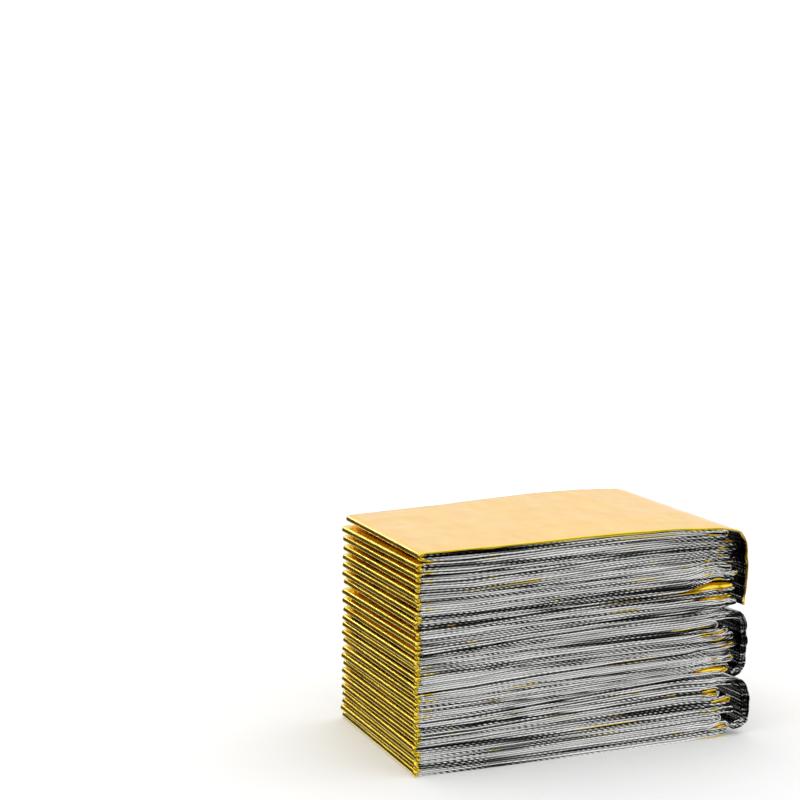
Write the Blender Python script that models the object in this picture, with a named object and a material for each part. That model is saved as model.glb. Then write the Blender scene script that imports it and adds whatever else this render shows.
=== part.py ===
"""A folded emergency foil blanket, modelled as one strip of layered film folded back and forth.

Metres, +Z up. The blanket lies on the surface it rests on. X runs from the gold pleats at -X to the
three rounded lobes at +X, and -Y is the long face that shows the layers edge on. The origin is the
middle of the bottom.

The strip's side A is the gold side and its side B the silver one. Run 0 is the top, gold up. Each
left-hand fold is a pinched gold pleat. The right-hand folds are loops that end at different places,
inside three lobes. The top run ends in a flap that hangs over the end of the first lobe, and the
second and third lobes are each wrapped in a doubled length of the strip.
"""

import math

import bmesh
import bpy
import numpy as np

MM = 0.001

# Sizes of the folded blanket
DEPTH = 84 * MM
LAYER_GAP = 0.42 * MM
THICKEST_LAYER = 1.35 * MM

# Left-hand pleats: how far they reach, and how they are pinched
PLEAT_TIP_TOP = -0.9 * MM
PLEAT_TIP_BOTTOM = -2.8 * MM
PLEAT_LEAN = 1.8 * MM
PLEAT_UNEVEN = 0.5 * MM
TOP_PLEAT_SHORT = 0.9 * MM
PINCH_LENGTH = 4.2 * MM
PINCH_SEPARATION = 1.42 * MM
PINCH_LAYER = 0.9 * MM

# Distances from the pleats at which the lobes' edges are given, and those edges' heights there
STATIONS = np.array((-3, 20, 45, 80, 104, 122, 129, 134)) * MM
LOBE_EDGES = {
    "first": {
        "top": np.array((80.5, 80.7, 81.1, 81.9, 81.5, 80.6, 79.6, 78.8)) * MM,
        "bottom": np.array((43.7, 44.8, 46.3, 47.6, 48.3, 49.7, 51.2, 51.8)) * MM,
    },
    "second": {
        "top": np.array((43.2, 44.3, 45.8, 47.1, 47.7, 48.5, 46.8, 45.8)) * MM,
        "bottom": np.array((19.5, 19.9, 21.4, 23.3, 24.6, 24.7, 25.4, 25.6)) * MM,
    },
    "third": {
        "top": np.array((19.0, 19.4, 20.9, 22.8, 23.9, 22.8, 20.6, 20.0)) * MM,
        "bottom": np.array((0.0, 0.0, 0.0, 0.0, 0.0, 1.2, 2.4, 3.2)) * MM,
    },
}
# How far the layers a third of the way down a lobe lie lower than even ones, in the lobe's height,
# at the same distances
CROWDING = {
    "first": (0.0, 0.03, 0.015, -0.02, -0.05, -0.03, 0.0, 0.0),
    "second": (0.0, 0.0, 0.0, 0.03, 0.06, 0.05, 0.02, 0.0),
    "third": (0.0, 0.0, 0.0, 0.0, 0.0, 0.0, 0.0, 0.0),
}
# How much higher the first lobe's top is at the back than at the front, at the same distances
TOP_RISE = np.array((0.8, 1.3, 1.9, 2.9, 3.4, 3.5, 3.2, 3.0)) * MM

# Right-hand loops, from the top down: (where it ends, how far it opens in layers, over what length)
LOOPS = {
    "first": (
        (124.6, 0.5, 12.0),
        (127.6, 0.9, 10.0),
        (128.8, 0.1, 9.0),
        (126.0, 0.2, 9.0),
        (128.6, 0.8, 10.0),
        (126.4, 0.6, 9.0),
        (128.8, 0.0, 10.0),
        (128.0, 2.6, 23.0),
        (127.2, 1.3, 20.0),
        (128.6, 0.1, 10.0),
    ),
    "second": (
        (120.5, 0.3, 10.0),
        (124.6, 1.0, 9.0),
        (127.2, 0.4, 9.0),
        (128.2, 0.7, 9.0),
        (125.5, 0.2, 9.0),
        (127.4, 0.5, 9.0),
        (124.6, 1.9, 20.0),
    ),
    "third": (
        (121.0, 0.9, 9.0),
        (126.6, 0.6, 9.0),
        (127.8, 0.2, 9.0),
        (122.5, 0.3, 9.0),
        (124.8, 0.9, 9.0),
    ),
}
LOOP_CLOSING = 7 * MM
LOOP_UNEVEN = 0.6 * MM
LOOP_ROUND = 1.4 * MM
LOOP_SHORT = 0.6 * MM
ROOM_UNEVEN = 0.15

# Middle line of the free flap over the first lobe, from its cut end up to the top run
FLAP = ((131.2, 50.4), (132.2, 55.8), (132.7, 63.0), (132.7, 69.6), (131.9, 75.0), (129.6, 78.4))
FLAP_LEAN = -1.5 * MM
# Middle lines of the two doubled wraps, from the top of the lobe round to the fold at their end
WRAPS = {
    "second": (
        (122, 47.9), (127.2, 47.8), (131.0, 46.6), (132.5, 42.8),
        (132.6, 36), (132.2, 29.6), (131, 25.8), (127.8, 23.8),
    ),
    "third": (
        (121, 22.6), (126.8, 22.2), (131, 20.8), (133, 17.2),
        (133.5, 12), (133.2, 7.4), (131.8, 4.4), (128, 3.1),
    ),
}
WRAP_DOUBLING = 1.6 * MM
WRAP_LAYER = 1.15 * MM
WRAP_JOINS_RUN = 118 * MM
LAST_RUN_END = 124 * MM

# Distances along a run at which its middle line has a point
RUN_POINTS = np.array((12, 24, 45, 68, 88, 101, 106, 110, 113.5, 116.5, 119.5, 122.5, 125)) * MM
Y_SHARES = (0.0, 1.0)
FACE_UNEVEN = 0.45 * MM

RUNS = 50
FIRST_RUN = {"first": 0, "second": 21, "third": 37}
GOLD = (0.83, 0.58, 0.16, 1.0)


def clear_scene():
    for obj in list(bpy.data.objects):
        bpy.data.objects.remove(obj)


def ease(share):
    """0 below 0, 1 above 1, and a smooth rise between."""
    share = np.clip(share, 0.0, 1.0)
    return share * share * (3 - 2 * share)


def crowded(share, most):
    """A share of a lobe's height moved on: by most at a third, and by less toward either end."""
    return share + most * 6.75 * share * (1 - share) ** 2


def wander(number, seed):
    """A repeatable uneven value from -1 to 1 for a numbered fold."""
    return math.sin(12.9898 * number + 78.233 * seed) * math.cos(4.1 * number + 2.7 * seed)


def smooth_line(points, count):
    """count points evenly along the Catmull-Rom curve through points."""
    points = np.asarray(points, float)
    ends = np.vstack([2 * points[0] - points[1], points, 2 * points[-1] - points[-2]])
    fine = []
    for a, b, c, d in zip(ends, ends[1:], ends[2:], ends[3:]):
        for t in np.linspace(0, 1, 12, endpoint=False):
            square, cube = 2 * a - 5 * b + 4 * c - d, 3 * b - a - 3 * c + d
            fine.append(0.5 * (2 * b + (c - a) * t + square * t**2 + cube * t**3))
    fine.append(points[-1])
    fine = np.array(fine)
    along = np.concatenate([[0], np.cumsum(np.linalg.norm(np.diff(fine, axis=0), axis=1))])
    wanted = np.linspace(0, along[-1], count)
    return np.column_stack([np.interp(wanted, along, fine[:, k]) for k in range(2)])


class Section:
    """The folded strip's section across the depth, at one share of the way from front to back."""

    def __init__(self, y_share):
        self.y_share = y_share
        self.loop_ends = {}
        self.items = {lobe: self.lobe_items(lobe) for lobe in LOBE_EDGES}

    def edge(self, lobe, side, x):
        height = np.interp(x, STATIONS, LOBE_EDGES[lobe][side])
        if (lobe, side) == ("first", "top"):
            height += self.y_share * np.interp(x, STATIONS, TOP_RISE)
        return height

    def lobe_items(self, lobe):
        """What is stacked in a lobe, top down: the runs of each item, and its loop if it has one."""
        first = FIRST_RUN[lobe]
        if lobe == "first":
            items = [((first,), None)]
        else:
            items = [((first, first + 1), None)]
        run = items[0][0][-1] + 1
        for number, (end, opening, length) in enumerate(LOOPS[lobe]):
            shift = LOOP_UNEVEN * wander(number + first, 1 + self.y_share)
            self.loop_ends[run] = end * MM
            items.append(((run, run + 1), (end * MM + shift, opening, length * MM)))
            run += 2
        if lobe == "third":
            items.append(((run,), None))
        return items

    def weight(self, item, x):
        """How many layers' room an item takes at x: more where a loop opens, none well past its end."""
        runs, loop = item
        room = len(runs) * (1 + ROOM_UNEVEN * wander(runs[0], 5))
        if loop is None:
            return room
        end, opening, length = loop
        room += opening * ease(1.25 * (x - end + length) / length)
        return room * (1 - ease((x - end - LAYER_GAP) / LOOP_CLOSING))

    def run_place(self, run, x):
        """(height of a run's middle line at x, thickness of the layer there)."""
        lobe = [name for name in FIRST_RUN if FIRST_RUN[name] <= run][-1]
        top, bottom = self.edge(lobe, "top", x), self.edge(lobe, "bottom", x)
        most = np.interp(x, STATIONS, CROWDING[lobe])
        weights = [self.weight(item, x) for item in self.items[lobe]]
        passed = 0
        for item, weight in zip(self.items[lobe], weights):
            passed += weight / sum(weights)
            if run not in item[0]:
                continue
            above = top - (top - bottom) * crowded(passed - weight / sum(weights), most)
            below = top - (top - bottom) * crowded(passed, most)
            layer = (above - below) / max(weight, len(item[0]))
            layer = min(layer, THICKEST_LAYER + LAYER_GAP)
            upper = run == item[0][0] and run != RUNS - 1
            height = above - layer / 2 if upper else below + layer / 2
            return height, layer - LAYER_GAP
        raise ValueError(f"run {run} is in no lobe")

    def tip(self, pleat):
        """Where a left-hand pleat's fold lies."""
        share = pleat / (RUNS / 2 - 1)
        uneven = PLEAT_UNEVEN * wander(pleat, 3 + 0.35 * self.y_share)
        short = TOP_PLEAT_SHORT if pleat == 0 else 0
        tip = PLEAT_TIP_TOP * (1 - share) + PLEAT_TIP_BOTTOM * share + short + uneven
        return tip + PLEAT_LEAN * self.y_share

    def pleat(self, pleat):
        """The pinched fold from run 2 * pleat round to the next run, as (x, z, thickness) rows."""
        tip, upper, lower = self.tip(pleat), 2 * pleat, 2 * pleat + 1
        radius = PINCH_SEPARATION / 2
        centre = tip + radius + PINCH_LAYER / 2
        above, below = [], []
        for share in (1.0, 0.55, 0.2):
            x = centre + share * PINCH_LENGTH
            (z_up, thick_up), (z_low, thick_low) = self.run_place(upper, x), self.run_place(lower, x)
            opened = ease(share * 1.05)
            middle = z_up - radius if pleat == 0 else (z_up + z_low) / 2
            middle += opened * ((z_up + z_low) / 2 - middle)
            half = radius + opened * ((z_up - z_low) / 2 - radius)
            above.append((x, middle + half, PINCH_LAYER + opened * (thick_up - PINCH_LAYER)))
            below.insert(0, (x, middle - half, PINCH_LAYER + opened * (thick_low - PINCH_LAYER)))
        turn = [
            (centre - radius * math.sin(a), middle + radius * math.cos(a), PINCH_LAYER)
            for a in np.radians((0, 45, 90, 135, 180))
        ]
        return above + turn + below

    def loop(self, item):
        """The rounded right-hand loop of an item, as (x, z, thickness) rows."""
        (upper, lower), (end, _, _) = item
        (z_up, thick), (z_low, _) = self.run_place(upper, end), self.run_place(lower, end)
        reach = min((z_up - z_low) / 2, LOOP_ROUND)
        centre = end - reach - thick / 2
        (z_up, thick), (z_low, _) = self.run_place(upper, centre), self.run_place(lower, centre)
        radius, middle = (z_up - z_low) / 2, (z_up + z_low) / 2
        return [
            (centre + reach * math.sin(a), middle + radius * math.cos(a), thick)
            for a in np.radians((0, 36, 72, 108, 144, 180))
        ]

    def straight(self, run, stop, turn_start):
        """The points of a run short of a distance and of a turn, left to right, as (x, z, thickness) rows."""
        inside = np.minimum(RUN_POINTS[RUN_POINTS < stop - LOOP_SHORT], turn_start - LOOP_SHORT / 2)
        return [(x, *self.run_place(run, x)) for x in inside]

    def wrap(self, lobe):
        """The doubled wrap: out along the first run, round the lobe's end, folded, and back inside."""
        run = FIRST_RUN[lobe]
        z_out, thick = self.run_place(run, WRAP_JOINS_RUN)
        outer = smooth_line([(WRAP_JOINS_RUN, z_out), *np.array(WRAPS[lobe]) * MM], 15)
        inner = outer + WRAP_DOUBLING * right_normals(outer)
        inner[0] = (WRAP_JOINS_RUN, self.run_place(run + 1, WRAP_JOINS_RUN)[0])
        across = (outer[-1] - inner[-1]) / 2
        onward = np.array((across[1], -across[0]))
        middle = (outer[-1] + inner[-1]) / 2
        nose = [middle + across * math.cos(a) + onward * math.sin(a) for a in np.radians((45, 90, 135))]
        line = np.vstack([outer, nose, inner[::-1]])
        return [(x, z, min(thick, WRAP_LAYER)) for x, z in line]

    def strip(self):
        """The whole middle line, from the flap's cut end to the last run's, as (x, z, thickness) rows."""
        rise = self.y_share * np.interp(FLAP[-1][0] * MM, STATIONS, TOP_RISE)
        join = (122 * MM, self.run_place(0, 122 * MM)[0])
        lean = self.y_share * FLAP_LEAN
        flap_points = [(x * MM + lean, z * MM + rise * ease((z - 60) / 16)) for x, z in FLAP]
        flap = smooth_line([*flap_points, join], 13)
        thick = self.run_place(0, 122 * MM)[1]
        rows = [(x, z, thick) for x, z in flap]
        loops = {item[0][0]: item for items in self.items.values() for item in items if item[1]}
        wraps = {FIRST_RUN[lobe]: lobe for lobe in WRAPS}
        stop = turn_start = rows[-1][0]
        for pleat in range(RUNS // 2):
            upper, lower = 2 * pleat, 2 * pleat + 1
            rows += reversed(self.straight(upper, stop, turn_start))
            rows += self.pleat(pleat)
            if lower in loops:
                turn = self.loop(loops[lower])
                stop = self.loop_ends[lower] - LOOP_ROUND
            elif lower in wraps:
                turn = self.wrap(wraps[lower])
                stop = turn[0][0]
            else:
                turn = [(LAST_RUN_END, *self.run_place(lower, LAST_RUN_END))]
                stop = LAST_RUN_END
            turn_start = turn[0][0]
            rows += self.straight(lower, stop, turn_start)
            rows += turn
        return np.array(rows)


def right_normals(line):
    """The unit normals on the right of a line of (x, z) points, in the direction that it runs."""
    ahead = np.gradient(line, axis=0)
    ahead /= np.linalg.norm(ahead, axis=1)[:, None]
    return np.column_stack([ahead[:, 1], -ahead[:, 0]])


def uneven_face(count, seed):
    """How far each point of the middle line's cut edge stands proud of the long face."""
    along = np.arange(count)
    return FACE_UNEVEN * (0.6 * np.sin(along * 0.37 + seed) + 0.4 * np.sin(along * 0.083 + 2 * seed))


def strip_mesh(sections):
    """One closed mesh of the strip: a ring of left and right points at each row of each section."""
    count = len(sections[0])
    mesh = bmesh.new()
    rings = []
    for share, rows in zip(Y_SHARES, sections):
        normals = right_normals(rows[:, :2])
        side_a = rows[:, :2] + normals * rows[:, 2:] / 2
        side_b = rows[:, :2] - normals * rows[:, 2:] / 2
        y = np.full(count, (share - 0.5) * DEPTH)
        if share in (0.0, 1.0):
            y += uneven_face(count, 1 + share)
        rings.append(
            [[mesh.verts.new((p[0], depth, p[1])) for p, depth in zip(side, y)] for side in (side_a, side_b)]
        )
    for front, back in zip(rings, rings[1:]):
        for i in range(count - 1):
            mesh.faces.new((front[0][i], front[0][i + 1], back[0][i + 1], back[0][i]))
            mesh.faces.new((front[1][i + 1], front[1][i], back[1][i], back[1][i + 1]))
        for i in (0, count - 1):
            mesh.faces.new((front[0][i], back[0][i], back[1][i], front[1][i]))
    for ring in (rings[0], rings[-1]):
        for i in range(count - 1):
            mesh.faces.new((ring[0][i], ring[0][i + 1], ring[1][i + 1], ring[1][i]))
    bmesh.ops.recalc_face_normals(mesh, faces=mesh.faces)
    return mesh


def origin_to_bottom_middle(mesh):
    """Moves the mesh so that the middle of its box's bottom is the origin."""
    places = np.array([vert.co for vert in mesh.verts])
    low, high = places.min(axis=0), places.max(axis=0)
    shift = -np.array(((low[0] + high[0]) / 2, (low[1] + high[1]) / 2, low[2]))
    bmesh.ops.translate(mesh, vec=shift, verts=mesh.verts)


def foil_material():
    material = bpy.data.materials.new("gold_foil")
    material.use_nodes = True
    shader = material.node_tree.nodes["Principled BSDF"]
    shader.inputs["Base Color"].default_value = GOLD
    shader.inputs["Metallic"].default_value = 1.0
    shader.inputs["Roughness"].default_value = 0.22
    return material


def build_blanket():
    sections = [Section(share).strip() for share in Y_SHARES]
    mesh = strip_mesh(sections)
    origin_to_bottom_middle(mesh)
    data = bpy.data.meshes.new("foil_blanket")
    mesh.to_mesh(data)
    mesh.free()
    data.materials.append(foil_material())
    data.shade_smooth()
    data.set_sharp_from_angle(angle=math.radians(40))
    blanket = bpy.data.objects.new("foil_blanket", data)
    bpy.context.scene.collection.objects.link(blanket)
    return blanket


clear_scene()
build_blanket()
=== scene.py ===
"""Looks of a folded emergency foil blanket: one long film, gold on one side and silver on the other.

The film is folded lengthwise into a narrow strip of five plies, and the strip is folded back and
forth along the same line as the solid's layers: pinched gold pleats at -X, open loops at +X in
three lobes, and the plies' silver folds on the long face at -Y.
"""

import math

import bpy
import numpy as np
from mathutils import Matrix, Vector


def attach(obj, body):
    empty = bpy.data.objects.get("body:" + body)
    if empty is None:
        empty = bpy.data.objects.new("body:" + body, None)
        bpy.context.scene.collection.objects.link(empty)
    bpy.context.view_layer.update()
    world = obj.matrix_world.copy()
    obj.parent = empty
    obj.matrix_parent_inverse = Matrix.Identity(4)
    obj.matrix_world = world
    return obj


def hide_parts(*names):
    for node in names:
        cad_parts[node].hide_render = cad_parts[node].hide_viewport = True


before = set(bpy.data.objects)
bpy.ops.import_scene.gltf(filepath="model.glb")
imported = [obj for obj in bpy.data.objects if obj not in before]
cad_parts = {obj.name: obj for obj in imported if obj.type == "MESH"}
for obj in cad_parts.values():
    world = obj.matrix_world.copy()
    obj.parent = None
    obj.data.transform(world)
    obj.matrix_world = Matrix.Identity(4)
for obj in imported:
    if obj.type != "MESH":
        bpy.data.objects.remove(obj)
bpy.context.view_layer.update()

MM = 0.001

# The camera of the photograph, in the part's frame
CAMERA_PLACE = Vector((-0.2926, -0.6212, 0.1957))
CAMERA_TURN = math.radians(20.863)
CAMERA_DROP = math.radians(5.645)
CAMERA_ROLL = math.radians(-0.771)
CAMERA_LENS = 81.0

# The sheet before it was folded
PLIES = 5
FILM = 0.04 * MM

# From the distances below to the part's frame
SHIFT_X = -65.50 * MM
SHIFT_Z = -0.21 * MM

# Sizes of the folded blanket
DEPTH = 84 * MM
LAYER_GAP = 0.42 * MM
THICKEST_LAYER = 1.35 * MM

# Left-hand pleats: how far they reach, and how they are pinched
PLEAT_TIP_TOP = -0.9 * MM
PLEAT_TIP_BOTTOM = -2.8 * MM
PLEAT_LEAN = 1.8 * MM
PLEAT_UNEVEN = 0.5 * MM
TOP_PLEAT_SHORT = 0.9 * MM
PINCH_LENGTH = 2.4 * MM
PINCH_SEPARATION = 1.42 * MM
PINCH_LAYER = 0.9 * MM

# Distances from the pleats at which the lobes' edges are given, and those edges' heights there
STATIONS = np.array((-3, 20, 45, 80, 104, 122, 129, 134)) * MM
LOBE_EDGES = {
    "first": {
        "top": np.array((80.5, 80.7, 81.1, 81.9, 81.5, 80.6, 79.6, 78.8)) * MM,
        "bottom": np.array((43.7, 44.8, 46.3, 47.6, 48.3, 49.7, 51.2, 51.8)) * MM,
    },
    "second": {
        "top": np.array((43.2, 44.3, 45.8, 47.1, 47.7, 48.5, 46.8, 45.8)) * MM,
        "bottom": np.array((19.5, 19.9, 21.4, 23.3, 24.6, 24.7, 25.4, 25.6)) * MM,
    },
    "third": {
        "top": np.array((19.0, 19.4, 20.9, 22.8, 23.9, 22.8, 20.6, 20.0)) * MM,
        "bottom": np.array((0.0, 0.0, 0.0, 0.0, 0.0, 1.2, 2.4, 3.2)) * MM,
    },
}
# How far the layers a third of the way down a lobe lie lower than even ones, in the lobe's height,
# at the same distances
CROWDING = {
    "first": (0.0, 0.03, 0.015, -0.02, -0.05, -0.03, 0.0, 0.0),
    "second": (0.0, 0.0, 0.0, 0.03, 0.06, 0.05, 0.02, 0.0),
    "third": (0.0, 0.0, 0.0, 0.0, 0.0, 0.0, 0.0, 0.0),
}
# How much higher the first lobe's top is at the back than at the front, at the same distances
TOP_RISE = np.array((0.8, 1.3, 1.9, 2.9, 3.4, 3.5, 3.2, 3.0)) * MM

# Right-hand loops, from the top down: (where it ends, how far it opens in layers, over what length)
LOOPS = {
    "first": (
        (124.6, 0.5, 12.0),
        (127.6, 0.9, 10.0),
        (128.8, 0.1, 9.0),
        (126.0, 0.2, 9.0),
        (128.6, 0.8, 10.0),
        (126.4, 0.6, 9.0),
        (128.8, 0.0, 10.0),
        (128.0, 2.6, 23.0),
        (127.2, 1.3, 20.0),
        (128.6, 0.1, 10.0),
    ),
    "second": (
        (120.5, 0.3, 10.0),
        (124.6, 1.0, 9.0),
        (127.2, 0.4, 9.0),
        (128.2, 0.7, 9.0),
        (125.5, 0.2, 9.0),
        (127.4, 0.5, 9.0),
        (124.6, 1.9, 20.0),
    ),
    "third": (
        (121.0, 0.9, 9.0),
        (126.6, 0.6, 9.0),
        (127.8, 0.2, 9.0),
        (122.5, 0.3, 9.0),
        (124.8, 0.9, 9.0),
    ),
}
LOOP_CLOSING = 7 * MM
LOOP_UNEVEN = 0.6 * MM
LOOP_ROUND = 1.4 * MM
LOOP_SHORT = 0.6 * MM
ROOM_UNEVEN = 0.15

# Middle line of the free flap over the first lobe, from its cut end up to the top run
FLAP = ((131.2, 50.4), (132.2, 55.8), (132.7, 63.0), (132.7, 69.6), (131.9, 75.0), (129.6, 78.4))
FLAP_LEAN = -1.5 * MM
# Middle lines of the two doubled wraps, from the top of the lobe round to the fold at their end
WRAPS = {
    "second": (
        (122, 47.9), (127.2, 47.8), (131.0, 46.6), (132.5, 42.8),
        (132.6, 36), (132.2, 29.6), (131, 25.8), (127.8, 23.8),
    ),
    "third": (
        (121, 22.6), (126.8, 22.2), (131, 20.8), (133, 17.2),
        (133.5, 12), (133.2, 7.4), (131.8, 4.4), (128, 3.1),
    ),
}
WRAP_DOUBLING = 1.6 * MM
WRAP_LAYER = 1.15 * MM
WRAP_JOINS_RUN = 118 * MM
LAST_RUN_END = 124 * MM

RUNS = 50
FIRST_RUN = {"first": 0, "second": 21, "third": 37}

# Distances along a run at which the film's middle line has a point
RUN_POINTS = np.concatenate((np.linspace(12, 102, 12), np.linspace(105, 126, 10))) * MM
PLEAT_SHARES = (1.0, 0.66, 0.4, 0.21, 0.08)
PLEAT_TURN = np.radians((0, 36, 72, 108, 144, 180))
LOOP_TURN = np.radians((0, 30, 60, 90, 120, 150, 180))
WRAP_TURN = np.radians((30, 60, 90, 120, 150))

# The plies' folds on the long faces, after each ply: at which face, and at which share of a quarter
# of the layers' pitch above the middle of the layer
PLY_FOLDS = (("back", 1.0), ("front", 1.0), ("back", -0.75), ("front", -1.0))
FOLD_TURN = np.radians((15, 90, 165))
FOLD_ROUND = 0.6
FOLD_NECK = 1.3 * MM
EDGE_BEHIND = 1.2 * MM
# How unevenly those folds stand out, in long waves, in short ones and from one run to the next
LONG_UNEVEN = 0.35 * MM
SHORT_UNEVEN = 0.16 * MM
RUN_UNEVEN = 0.22 * MM

# The gold ply that turns over the other plies: at the ends of the pleats, along the top and down the flap
CORNER_LENGTH = 3.0 * MM
CORNER_PROUD = 0.75 * MM
CORNER_FLARE = 0.38 * MM
RIM_DROP = 1.3 * MM
RIM_PROUD = 0.2 * MM
FLAP_PROUD = 0.7 * MM
FLAP_DROP = 1.5 * MM
CAP_BEHIND = 0.55 * MM

# The crumpled right-hand end: where it starts, how uneven it is, and how much gold turns out there
CRUMPLE_START = 106 * MM
CRUMPLE_LENGTH = 14 * MM
CRUMPLE_OUT = 0.6 * MM
CRUMPLE_SIDEWAYS = 0.16 * MM

# The gold side on the top and flap, and in the folds: low and high colour, edge tint, crumple
SMOOTH_GOLD = ((0.88, 0.61, 0.10), (0.94, 0.71, 0.18), (1.0, 0.87, 0.86), 0.03)
# The folds' gold is a deeper, more saturated copy of the same gold: painted shade in the folds
SHADED_FOLD_GOLD = ((0.84, 0.60, 0.03), (0.90, 0.69, 0.07), (1.0, 0.92, 0.85), 0.6)
# The fine slanting creases of the silver side: radians a metre along X, Y and Z
CREASE_WAVES = (2600, 0, 5000)
# Where the silver side lies in its own shade: round the lobes' ends, and under the rim at the left
DARK_END = 64.5 * MM
DARK_RIM = 77.0 * MM

# How bright the surround is: overhead, at the horizon, in its dim sides, and in the strip behind
OVERHEAD = 1.2
HORIZON = 1.05
FRONT_SHADE = 0.36
LEFT_SHADE = 0.06
BACK_LAMP = 7.0


def ease(share):
    """0 below 0, 1 above 1, and a smooth rise between."""
    share = np.clip(share, 0.0, 1.0)
    return share * share * (3 - 2 * share)


def crowded(share, most):
    """A share of a lobe's height moved on: by most at a third, and by less toward either end."""
    return share + most * 6.75 * share * (1 - share) ** 2


def wander(number, seed):
    """A repeatable uneven value from -1 to 1 for a numbered fold."""
    return math.sin(12.9898 * number + 78.233 * seed) * math.cos(4.1 * number + 2.7 * seed)


def smooth_line(points, count):
    """count points evenly along the Catmull-Rom curve through points."""
    points = np.asarray(points, float)
    ends = np.vstack([2 * points[0] - points[1], points, 2 * points[-1] - points[-2]])
    fine = []
    for a, b, c, d in zip(ends, ends[1:], ends[2:], ends[3:]):
        for t in np.linspace(0, 1, 12, endpoint=False):
            square, cube = 2 * a - 5 * b + 4 * c - d, 3 * b - a - 3 * c + d
            fine.append(0.5 * (2 * b + (c - a) * t + square * t**2 + cube * t**3))
    fine.append(points[-1])
    fine = np.array(fine)
    along = np.concatenate([[0], np.cumsum(np.linalg.norm(np.diff(fine, axis=0), axis=1))])
    wanted = np.linspace(0, along[-1], count)
    return np.column_stack([np.interp(wanted, along, fine[:, k]) for k in range(2)])


def right_normals(line):
    """The unit normals on the right of a line of (x, z) points, in the direction that it runs."""
    ahead = np.gradient(line, axis=0)
    ahead /= np.linalg.norm(ahead, axis=1)[:, None]
    return np.column_stack([ahead[:, 1], -ahead[:, 0]])


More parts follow.
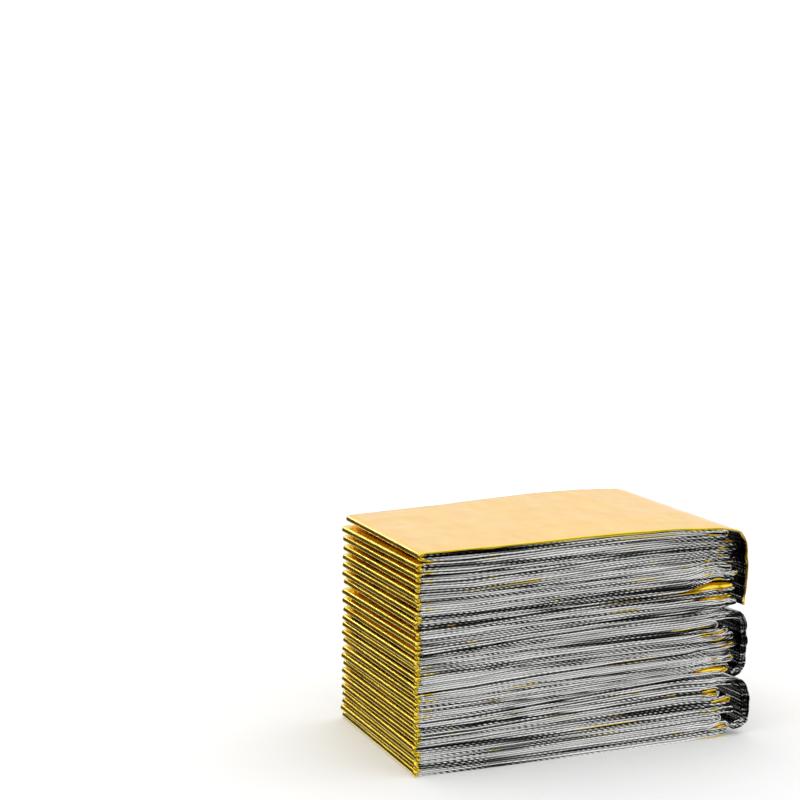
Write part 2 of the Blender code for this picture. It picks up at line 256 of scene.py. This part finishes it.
class Section:
    """The folded strip's section across the depth, at one share of the way from front to back."""

    def __init__(self, y_share):
        self.y_share = y_share
        self.loop_ends = {}
        self.items = {lobe: self.lobe_items(lobe) for lobe in LOBE_EDGES}

    def edge(self, lobe, side, x):
        height = np.interp(x, STATIONS, LOBE_EDGES[lobe][side])
        if (lobe, side) == ("first", "top"):
            height += self.y_share * np.interp(x, STATIONS, TOP_RISE)
        return height

    def lobe_items(self, lobe):
        """What is stacked in a lobe, top down: the runs of each item, and its loop if it has one."""
        first = FIRST_RUN[lobe]
        if lobe == "first":
            items = [((first,), None)]
        else:
            items = [((first, first + 1), None)]
        run = items[0][0][-1] + 1
        for number, (end, opening, length) in enumerate(LOOPS[lobe]):
            shift = LOOP_UNEVEN * wander(number + first, 1 + self.y_share)
            self.loop_ends[run] = end * MM
            items.append(((run, run + 1), (end * MM + shift, opening, length * MM)))
            run += 2
        if lobe == "third":
            items.append(((run,), None))
        return items

    def weight(self, item, x):
        """How many layers' room an item takes at x: more where a loop opens, none well past its end."""
        runs, loop = item
        room = len(runs) * (1 + ROOM_UNEVEN * wander(runs[0], 5))
        if loop is None:
            return room
        end, opening, length = loop
        room += opening * ease(1.25 * (x - end + length) / length)
        return room * (1 - ease((x - end - LAYER_GAP) / LOOP_CLOSING))

    def run_place(self, run, x):
        """(height of a run's middle line at x, thickness of the layer there)."""
        lobe = [name for name in FIRST_RUN if FIRST_RUN[name] <= run][-1]
        top, bottom = self.edge(lobe, "top", x), self.edge(lobe, "bottom", x)
        most = np.interp(x, STATIONS, CROWDING[lobe])
        weights = [self.weight(item, x) for item in self.items[lobe]]
        passed = 0
        for item, weight in zip(self.items[lobe], weights):
            passed += weight / sum(weights)
            if run not in item[0]:
                continue
            above = top - (top - bottom) * crowded(passed - weight / sum(weights), most)
            below = top - (top - bottom) * crowded(passed, most)
            layer = (above - below) / max(weight, len(item[0]))
            layer = min(layer, THICKEST_LAYER + LAYER_GAP)
            upper = run == item[0][0] and run != RUNS - 1
            height = above - layer / 2 if upper else below + layer / 2
            return height, layer - LAYER_GAP
        raise ValueError(f"run {run} is in no lobe")

    def tip(self, pleat):
        """Where a left-hand pleat's fold lies."""
        share = pleat / (RUNS / 2 - 1)
        uneven = PLEAT_UNEVEN * wander(pleat, 3 + 0.35 * self.y_share)
        short = TOP_PLEAT_SHORT if pleat == 0 else 0
        tip = PLEAT_TIP_TOP * (1 - share) + PLEAT_TIP_BOTTOM * share + short + uneven
        return tip + PLEAT_LEAN * self.y_share

    def pleat(self, pleat):
        """The pinched fold from run 2 * pleat round to the next run, as (x, z, thickness) rows."""
        tip, upper, lower = self.tip(pleat), 2 * pleat, 2 * pleat + 1
        radius = PINCH_SEPARATION / 2
        centre = tip + radius + PINCH_LAYER / 2
        above, below = [], []
        for share in PLEAT_SHARES:
            x = centre + share * PINCH_LENGTH
            (z_up, thick_up), (z_low, thick_low) = self.run_place(upper, x), self.run_place(lower, x)
            opened = ease(share * 1.05)
            middle = z_up - radius if pleat == 0 else (z_up + z_low) / 2
            middle += opened * ((z_up + z_low) / 2 - middle)
            half = radius + opened * ((z_up - z_low) / 2 - radius)
            above.append((x, middle + half, PINCH_LAYER + opened * (thick_up - PINCH_LAYER)))
            below.insert(0, (x, middle - half, PINCH_LAYER + opened * (thick_low - PINCH_LAYER)))
        turn = [
            (centre - radius * math.sin(a), middle + radius * math.cos(a), PINCH_LAYER) for a in PLEAT_TURN
        ]
        return above + turn + below

    def loop(self, item):
        """The rounded right-hand loop of an item, as (x, z, thickness) rows."""
        (upper, lower), (end, _, _) = item
        (z_up, thick), (z_low, _) = self.run_place(upper, end), self.run_place(lower, end)
        reach = min((z_up - z_low) / 2, LOOP_ROUND)
        centre = end - reach - thick / 2
        (z_up, thick), (z_low, _) = self.run_place(upper, centre), self.run_place(lower, centre)
        radius, middle = (z_up - z_low) / 2, (z_up + z_low) / 2
        return [(centre + reach * math.sin(a), middle + radius * math.cos(a), thick) for a in LOOP_TURN]

    def straight(self, run, stop, turn_start):
        """The points of a run short of a distance and of a turn, left to right, as (x, z, thickness) rows."""
        inside = np.minimum(RUN_POINTS[RUN_POINTS < stop - LOOP_SHORT], turn_start - LOOP_SHORT / 2)
        return [(x, *self.run_place(run, x)) for x in inside]

    def wrap(self, lobe):
        """The doubled wrap: out along the first run, round the lobe's end, folded, and back inside."""
        run = FIRST_RUN[lobe]
        z_out, thick = self.run_place(run, WRAP_JOINS_RUN)
        outer = smooth_line([(WRAP_JOINS_RUN, z_out), *np.array(WRAPS[lobe]) * MM], 26)
        inner = outer + WRAP_DOUBLING * right_normals(outer)
        inner[0] = (WRAP_JOINS_RUN, self.run_place(run + 1, WRAP_JOINS_RUN)[0])
        across = (outer[-1] - inner[-1]) / 2
        onward = np.array((across[1], -across[0]))
        middle = (outer[-1] + inner[-1]) / 2
        nose = [middle + across * math.cos(a) + onward * math.sin(a) for a in WRAP_TURN]
        line = np.vstack([outer, nose, inner[::-1]])
        return [(x, z, min(thick, WRAP_LAYER)) for x, z in line]

    def opening(self, run, x):
        """How far apart the two runs of a loop lie at x, past the usual gap: 0 where there is no loop."""
        upper = run - 1 + run % 2
        if run < 1 or upper == RUNS - 1:
            return 0
        (z_up, thick_up), (z_low, thick_low) = self.run_place(upper, x), self.run_place(upper + 1, x)
        return max(z_up - z_low - (thick_up + thick_low) / 2 - LAYER_GAP, 0)

    def strip(self):
        """The middle line from the flap's cut end to the last run's.

        Its rows are (x, z, thickness, run, share of the way to a pleat's tip, opening of the loop).
        """
        rise = self.y_share * np.interp(FLAP[-1][0] * MM, STATIONS, TOP_RISE)
        join = (122 * MM, self.run_place(0, 122 * MM)[0])
        lean = self.y_share * FLAP_LEAN
        flap_points = [(x * MM + lean, z * MM + rise * ease((z - 60) / 16)) for x, z in FLAP]
        flap = smooth_line([*flap_points, join], 26)
        thick = self.run_place(0, 122 * MM)[1]
        rows = [(x, z, thick, -1, 0, 0) for x, z in flap]
        loops = {item[0][0]: item for items in self.items.values() for item in items if item[1]}
        wraps = {FIRST_RUN[lobe]: lobe for lobe in WRAPS}
        stop = turn_start = rows[-1][0]
        for pleat in range(RUNS // 2):
            upper, lower = 2 * pleat, 2 * pleat + 1
            for row in reversed(self.straight(upper, stop, turn_start)):
                rows.append((*row, upper, 0, self.opening(upper, row[0])))
            tip = self.tip(pleat)
            for row in self.pleat(pleat):
                rows.append((*row, upper, 1 - (row[0] - tip) / CORNER_LENGTH, 0))
            if lower in loops:
                turn = self.loop(loops[lower])
                stop = self.loop_ends[lower] - LOOP_ROUND
            elif lower in wraps:
                turn = self.wrap(wraps[lower])
                stop = turn[0][0]
            else:
                turn = [(LAST_RUN_END, *self.run_place(lower, LAST_RUN_END))]
                stop = LAST_RUN_END
            turn_start = turn[0][0]
            for row in self.straight(lower, stop, turn_start):
                rows.append((*row, lower, 0, self.opening(lower, row[0])))
            upper_half = len(turn) / 2
            for number, row in enumerate(turn):
                turned = lower in loops and number > upper_half
                rows.append((*row, lower + turned, 0, self.opening(lower, row[0]) if turned else 0))
        return np.array(rows)


def unevenness(length, generator, scale):
    """A smooth uneven value from about -1 to 1 at each distance along the strip, scale apart."""
    knots = generator.uniform(-1, 1, int(length[-1] / scale) + 3)
    place = length / scale
    low = place.astype(int)
    share = ease(place - low)
    return knots[low] * (1 - share) + knots[low + 1] * share


def film_points():
    """Each point of the film's middle surface, the way its gold side faces there, and each row's run.

    The first two are (rows, columns, 3) arrays.
    """
    generator = np.random.default_rng(7)
    front, back = Section(0.0).strip(), Section(1.0).strip()
    length = np.concatenate([[0], np.cumsum(np.linalg.norm(np.diff(front[:, :2], axis=0), axis=1))])
    run = front[:, 3].astype(int)
    thick = (front[:, 2] + back[:, 2]) / 2
    spacing = (thick + 0.1 * MM) / (PLIES - 1)
    quarter = (thick + LAYER_GAP) / 4
    crumpled = ease((front[:, 0] - CRUMPLE_START) / CRUMPLE_LENGTH) * (run > 0)

    def uneven(scale):
        return unevenness(length, generator, scale)

    # How far the gold ply turns over the others, from 0 to 1: at the pleats' corners, along the top's
    # rim, round the flap, and in bits among the crumpled loops, along the runs and beside the pleats.
    # The lowest runs and the wraps' own runs have no such bits.
    corner = ease(1.6 * front[:, 4] + 0.35 * uneven(1.3 * MM) * (front[:, 4] > 0))
    rim = (run == 0) * (1 - corner)
    flap = (run < 0).astype(float)
    bits = crumpled * ease(4 * (uneven(3.1 * MM) - 0.45))
    bits += 0.7 * ease(5 * (uneven(17 * MM) - 0.62)) * (1 - crumpled) * (run > 0)
    bits += 0.9 * (front[:, 4] < 0) * (generator.uniform(-1, 1, RUNS + 1)[run] > 0.55) * (run > 0)
    bits *= (run < RUNS - 2) & ~np.isin(run, [FIRST_RUN[lobe] for lobe in WRAPS])
    cap = np.clip(corner + rim + flap + bits, 0, 1)

    # How deep it drops there, and how proud it stands
    nicks = unevenness(length, np.random.default_rng(11), 4 * MM)
    drop = (corner + bits * (0.3 + 0.2 * crumpled)) * 4.6 * quarter
    drop += rim * RIM_DROP * (0.8 + 0.45 * nicks)
    drop += flap * FLAP_DROP * (0.8 + 0.25 * uneven(3 * MM))
    drop *= 1 + 0.12 * uneven(2.2 * MM)
    proud = CORNER_PROUD * corner * (0.7 + 0.7 * uneven(0.9 * MM))
    proud += rim * RIM_PROUD * (0.8 + 0.6 * uneven(6 * MM))
    proud += flap * FLAP_PROUD * (0.7 + 0.9 * uneven(2.7 * MM)) + bits * 0.3 * MM
    run_out = RUN_UNEVEN * generator.uniform(-1, 1, RUNS + 1)[run] * (1 - cap)

    def long_face():
        """How far one ply's fold stands out of a long face."""
        wave = LONG_UNEVEN * uneven(24 * MM) + SHORT_UNEVEN * uneven(6 * MM)
        return wave * (1 - 0.7 * cap) + run_out + CRUMPLE_OUT * crumpled * uneven(1.7 * MM) * (1 - cap)

    level = spacing * (PLIES - 1) / 2
    y_front = -DEPTH / 2 + CAP_BEHIND * cap
    edge = y_front + EDGE_BEHIND * (1 - cap) * (1 - 0.8 * crumpled)
    lifted = level + 0.12 * MM * cap + CORNER_FLARE * corner * (0.7 + 0.3 * uneven(1.1 * MM))
    opening = front[:, 5] * np.where(run % 2, 0.12, 0.78 + 0.16 * uneven(2.4 * MM))
    columns = [
        (edge - cap * 0.55 * (CAP_BEHIND + proud), lifted - drop),
        (edge + 0.06 * MM - cap * (CAP_BEHIND + proud), lifted - 0.35 * drop),
        (edge + 0.14 * MM - cap * (0.9 * CAP_BEHIND + 0.8 * proud), lifted - 0.08 * drop),
        (edge + FOLD_NECK * (0.25 - 0.35 * cap), lifted),
        (edge + FOLD_NECK * (0.6 - 0.3 * ease(opening / MM)) + 0.14 * opening, level + 0.4 * opening),
        (edge + FOLD_NECK * (1 - 0.7 * ease(opening / MM)) + 0.3 * opening, level + 0.85 * opening),
        (edge + 4 * FOLD_NECK + opening, level + 0.9 * opening),
    ]
    heights = level - spacing * np.arange(PLIES)[:, None]
    for ply, (face, share) in enumerate(PLY_FOLDS):
        side = 1 if face == "back" else -1
        if face == "back":
            y_fold = DEPTH / 2 + long_face()
        else:
            y_fold = y_front - long_face()
        middle = share * quarter + CRUMPLE_SIDEWAYS * crumpled * uneven(1.4 * MM)
        radius = FOLD_ROUND * quarter * (1 + 0.2 * uneven(5 * MM))
        columns.append((y_fold - side * FOLD_NECK, heights[ply]))
        for angle in FOLD_TURN:
            y_turn = y_fold - side * radius * (1 - math.sin(angle))
            columns.append((y_turn, middle + radius * math.cos(angle)))
        columns.append((y_fold - side * FOLD_NECK, heights[ply + 1]))
    columns.append((DEPTH / 2 - EDGE_BEHIND + LONG_UNEVEN * uneven(9 * MM), heights[-1]))

    y = np.column_stack([column[0] for column in columns])
    n = np.column_stack([column[1] for column in columns])
    share = (y / DEPTH + 0.5)[:, :, None]
    centre = front[:, None, :2] * (1 - share) + back[:, None, :2] * share
    normal = right_normals(front[:, :2])[:, None] * (1 - share) + right_normals(back[:, :2])[:, None] * share
    normal /= np.linalg.norm(normal, axis=2)[:, :, None]
    flat = centre + normal * n[:, :, None]
    points = np.dstack([flat[:, :, 0] + SHIFT_X, y, flat[:, :, 1] + SHIFT_Z])
    points[:, :, 2] = np.maximum(points[:, :, 2], FILM)

    y_ahead, n_ahead = np.gradient(y, axis=1), np.gradient(n, axis=1)
    size = np.hypot(y_ahead, n_ahead)
    up = (y_ahead / size)[:, :, None] * normal
    gold = np.dstack([up[:, :, 0], -n_ahead / size, up[:, :, 1]])
    return points, gold, run


def film_mesh():
    """The film as one closed thin shell.

    Slot 0 is the gold side of the top and the flap, slot 1 the silver side and the cut edges, and
    slot 2 the gold side of the folds below and of the plies' turned-over edges.
    """
    middle, gold, run = film_points()
    rows, columns = middle.shape[:2]
    places = np.vstack([(middle + gold * FILM / 2).reshape(-1, 3), (middle - gold * FILM / 2).reshape(-1, 3)])
    index = np.arange(rows * columns).reshape(rows, columns)
    under = index + rows * columns
    a, b, c, d = index[:-1, :-1], index[:-1, 1:], index[1:, 1:], index[1:, :-1]
    gold_faces = np.stack([a, b, c, a, c, d], axis=-1).reshape(-1, 3)
    silver_faces = gold_faces[:, ::-1] + rows * columns
    edges = []
    for line, low, turned in (
        (index[0], under[0], False),
        (index[-1], under[-1], True),
        (index[:, 0], under[:, 0], True),
        (index[:, -1], under[:, -1], False),
    ):
        here, there, low_here, low_there = line[:-1], line[1:], low[:-1], low[1:]
        corners = np.stack([here, low_here, low_there, here, low_there, there], axis=-1).reshape(-1, 3)
        edges.append(corners[:, ::-1] if turned else corners)
    faces = np.vstack([gold_faces, silver_faces, *edges])
    slots = np.ones(len(faces), dtype=np.int32)
    open_gold = (run[:-1, None] < 0) | (run[:-1, None] < 1) & (np.arange(columns - 1) > 2)
    # Slot 2 takes the deeper gold: painted shade in the folds and on the turned-over edges
    slots[: len(gold_faces)] = np.repeat(np.where(open_gold, 0, 2).ravel(), 2)

    mesh = bpy.data.meshes.new("film")
    mesh.from_pydata(places.tolist(), [], faces.tolist())
    mesh.polygons.foreach_set("material_index", slots)
    mesh.shade_smooth()
    mesh.set_sharp_from_angle(angle=math.radians(100))
    mesh.update()
    return mesh


def new_material(name):
    material = bpy.data.materials.new(name)
    material.use_nodes = True
    tree = material.node_tree
    shader = tree.nodes["Principled BSDF"]
    return material, tree, shader


def add(tree, kind, values=None, **settings):
    """A node with its settings, and its sockets' values or links."""
    node = tree.nodes.new(kind)
    for name, value in settings.items():
        setattr(node, name, value)
    for name, value in (values or {}).items():
        if isinstance(value, bpy.types.NodeSocket):
            tree.links.new(value, node.inputs[name])
        else:
            node.inputs[name].default_value = value
    return node


def noise(tree, scale, detail):
    """A noise over the object, from about 0.3 to 0.7, whose grains are 1 / scale metres along X, Y and Z."""
    place = add(tree, "ShaderNodeTexCoord").outputs["Object"]
    grains = add(tree, "ShaderNodeMapping", {"Vector": place, "Scale": scale}).outputs["Vector"]
    return add(tree, "ShaderNodeTexNoise", {"Vector": grains, "Scale": 1.0, "Detail": detail}).outputs["Fac"]


def ranged(tree, value, low, high, to_low=0.0, to_high=1.0):
    """The value, smoothly taken from the range low to high into another range."""
    values = {"Value": value, "From Min": low, "From Max": high, "To Min": to_low, "To Max": to_high}
    return add(tree, "ShaderNodeMapRange", values, interpolation_type="SMOOTHSTEP").outputs["Result"]


def combined(tree, operation, first, second):
    return add(tree, "ShaderNodeMath", {0: first, 1: second}, operation=operation).outputs[0]


def ramp(tree, value, colours):
    """A colour for the value, from (position, colour) pairs."""
    node = add(tree, "ShaderNodeValToRGB", {"Fac": value})
    elements = node.color_ramp.elements
    while len(elements) < len(colours):
        elements.new(0.5)
    for element, (position, colour) in zip(elements, colours):
        element.position = position
        element.color = (*colour, 1)
    return node.outputs["Color"]


def gold_film(name, low, high, tint, crumpled):
    """Gold between two colours, patch by patch, with a tint at low angles and a share of fine crumples."""
    material, tree, shader = new_material(name)
    streaks = noise(tree, (9, 90, 90), 3.0)
    patches = noise(tree, (160, 60, 300), 4.0)
    colour = ramp(tree, patches, ((0.3, low), (0.7, high)))
    crumple = noise(tree, (420, 220, 420), 1.0)
    fine = add(tree, "ShaderNodeBump", {"Height": crumple, "Strength": crumpled, "Distance": 0.2 * MM})
    bump = add(
        tree,
        "ShaderNodeBump",
        {"Height": streaks, "Strength": 0.16, "Distance": 1.0 * MM, "Normal": fine.outputs["Normal"]},
    )
    tree.links.new(colour, shader.inputs["Base Color"])
    tree.links.new(ranged(tree, streaks, 0.3, 0.7, 0.12, 0.26), shader.inputs["Roughness"])
    tree.links.new(bump.outputs["Normal"], shader.inputs["Normal"])
    shader.inputs["Metallic"].default_value = 1.0
    shader.inputs["Specular Tint"].default_value = (*tint, 1)
    return material


def silver_film():
    """Silver whose folds catch the light one by one, with fine slanting creases across them in patches drawn
    as painted light and shade, and painted shade round the lobes' ends and under the rim at the left.
    """
    material, tree, shader = new_material("silver_film")
    place = add(tree, "ShaderNodeTexCoord").outputs["Object"]
    parts = add(tree, "ShaderNodeSeparateXYZ", {"Vector": place}).outputs
    lines = noise(tree, (13, 40, 1250), 0.0)
    broad = noise(tree, (9, 20, 150), 2.0)
    patches = noise(tree, (42, 20, 60), 2.0)
    slant = add(tree, "ShaderNodeVectorMath", {0: place, 1: CREASE_WAVES}, operation="DOT_PRODUCT")
    bent = combined(
        tree, "ADD", slant.outputs["Value"], combined(tree, "MULTIPLY", noise(tree, (60, 20, 90), 1.0), 11.0)
    )
    creases = combined(tree, "SINE", bent, 0.0)
    # Painted light and shade: the creases' strokes make the silver's colour lighter and darker, in patches
    strokes = ranged(tree, creases, -0.6, 0.8, -0.6, 0.5)
    crease_painted_light_and_shade = combined(tree, "MULTIPLY", strokes, ranged(tree, patches, 0.36, 0.55))
    tone = combined(tree, "ADD", lines, combined(tree, "MULTIPLY", broad, 0.38))
    tone = combined(tree, "ADD", tone, combined(tree, "MULTIPLY", crease_painted_light_and_shade, -0.17))
    # Painted shade: the silver's colour darkens toward the lobes' ends, up to DARK_END and beyond
    tone = combined(tree, "ADD", tone, ranged(tree, parts["X"], DARK_END - 9 * MM, DARK_END, 0.0, -0.27))
    # Painted shade: the silver's colour darkens just under the top's rim at the left
    under_rim_painted_shade = combined(
        tree,
        "MULTIPLY",
        ranged(tree, parts["Z"], DARK_RIM - 1.5 * MM, DARK_RIM),
        ranged(tree, parts["X"], -10 * MM, -35 * MM, 0.0, -0.07),
    )
    tone = combined(tree, "ADD", tone, under_rim_painted_shade)
    colour = ramp(
        tree,
        tone,
        (
            (0.45, (0.025, 0.025, 0.025)),
            (0.55, (0.36, 0.36, 0.35)),
            (0.64, (0.86, 0.86, 0.85)),
            (0.78, (0.99, 0.99, 0.98)),
        ),
    )
    bump = add(tree, "ShaderNodeBump", {"Height": creases, "Strength": 0.5, "Distance": 0.08 * MM})
    tree.links.new(colour, shader.inputs["Base Color"])
    tree.links.new(bump.outputs["Normal"], shader.inputs["Normal"])
    shader.inputs["Metallic"].default_value = 1.0
    shader.inputs["Roughness"].default_value = 0.2
    return material


def build_blanket():
    mesh = film_mesh()
    mesh.materials.append(gold_film("gold_film", *SMOOTH_GOLD))
    mesh.materials.append(silver_film())
    mesh.materials.append(gold_film("gold_folds_shaded", *SHADED_FOLD_GOLD))
    film = bpy.data.objects.new("film", mesh)
    bpy.context.scene.collection.objects.link(film)
    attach(film, "root")
    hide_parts("foil_blanket")
    return film


def build_floor():
    mesh = bpy.data.meshes.new("floor")
    size = 6.0
    corners = [(-size, -size, 0), (size, -size, 0), (size, size, 0), (-size, size, 0)]
    mesh.from_pydata(corners, [], [(0, 1, 2, 3)])
    material, tree, shader = new_material("pale_floor")
    cloudy = noise(tree, (14, 14, 14), 4.0)
    colour = ramp(tree, cloudy, ((0.3, (0.96, 0.96, 0.96)), (0.7, (0.985, 0.985, 0.98))))
    tree.links.new(colour, shader.inputs["Base Color"])
    shader.inputs["Roughness"].default_value = 0.8
    shader.inputs["Specular IOR Level"].default_value = 0.2
    mesh.materials.append(material)
    floor = bpy.data.objects.new("floor", mesh)
    bpy.context.scene.collection.objects.link(floor)
    floor.visible_glossy = False


def build_light():
    """A white surround like a light tent, with a dim side before the long face and one to the left.

    A narrow bright strip behind the blanket draws the light lines along the pleats.
    """
    world = bpy.data.worlds.new("studio")
    bpy.context.scene.world = world
    world.use_nodes = True
    tree = world.node_tree
    way = add(tree, "ShaderNodeTexCoord").outputs["Generated"]
    parts = add(tree, "ShaderNodeSeparateXYZ", {"Vector": way}).outputs
    dim_front = combined(
        tree, "MULTIPLY", ranged(tree, parts["Y"], -0.1, -0.6), ranged(tree, parts["Z"], 0.36, 0.12)
    )
    level = combined(
        tree, "MULTIPLY", ranged(tree, parts["Z"], 0.36, 0.2), ranged(tree, parts["Z"], -0.365, -0.325)
    )
    below = combined(tree, "MULTIPLY", combined(tree, "MINIMUM", parts["Z"], 0.0), 0.65)
    across = combined(tree, "ADD", parts["X"], below)
    dim_left = combined(tree, "MULTIPLY", ranged(tree, across, -0.06, -0.26), level)
    light = ranged(tree, parts["Z"], 0.3, 0.7, HORIZON, OVERHEAD)
    light = combined(tree, "MULTIPLY", light, ranged(tree, dim_front, 0.0, 1.0, 1.0, FRONT_SHADE))
    light = combined(tree, "MULTIPLY", light, ranged(tree, dim_left, 0.0, 1.0, 1.0, LEFT_SHADE))
    lamp = ranged(tree, parts["Y"], 0.5, 0.7, 0.0, BACK_LAMP)
    for part, dark, full in (("Z", 0.28, 0.31), ("Z", 0.36, 0.33), ("X", -0.2, -0.12), ("X", 0.08, 0.0)):
        lamp = combined(tree, "MULTIPLY", lamp, ranged(tree, parts[part], dark, full))
    light = combined(tree, "ADD", light, lamp)
    seen = add(tree, "ShaderNodeLightPath").outputs["Is Camera Ray"]
    backdrop = combined(tree, "MAXIMUM", light, seen)
    tree.links.new(backdrop, tree.nodes["Background"].inputs["Color"])
    tree.nodes["Background"].inputs["Strength"].default_value = 1.0


def build_camera():
    forward = Vector(
        (
            math.sin(CAMERA_TURN) * math.cos(CAMERA_DROP),
            math.cos(CAMERA_TURN) * math.cos(CAMERA_DROP),
            -math.sin(CAMERA_DROP),
        )
    )
    level = Vector((math.cos(CAMERA_TURN), -math.sin(CAMERA_TURN), 0))
    above = level.cross(forward)
    right = level * math.cos(CAMERA_ROLL) + above * math.sin(CAMERA_ROLL)
    up = above * math.cos(CAMERA_ROLL) - level * math.sin(CAMERA_ROLL)
    turn = Matrix((right, up, -forward)).transposed()
    data = bpy.data.cameras.new("camera")
    data.lens = CAMERA_LENS
    data.sensor_width = 36.0
    camera = bpy.data.objects.new("camera", data)
    camera.matrix_world = Matrix.Translation(CAMERA_PLACE) @ turn.to_4x4()
    bpy.context.scene.collection.objects.link(camera)
    bpy.context.scene.camera = camera


build_camera()
build_blanket()
build_floor()
build_light()
bpy.context.scene.view_settings.view_transform = "Standard"
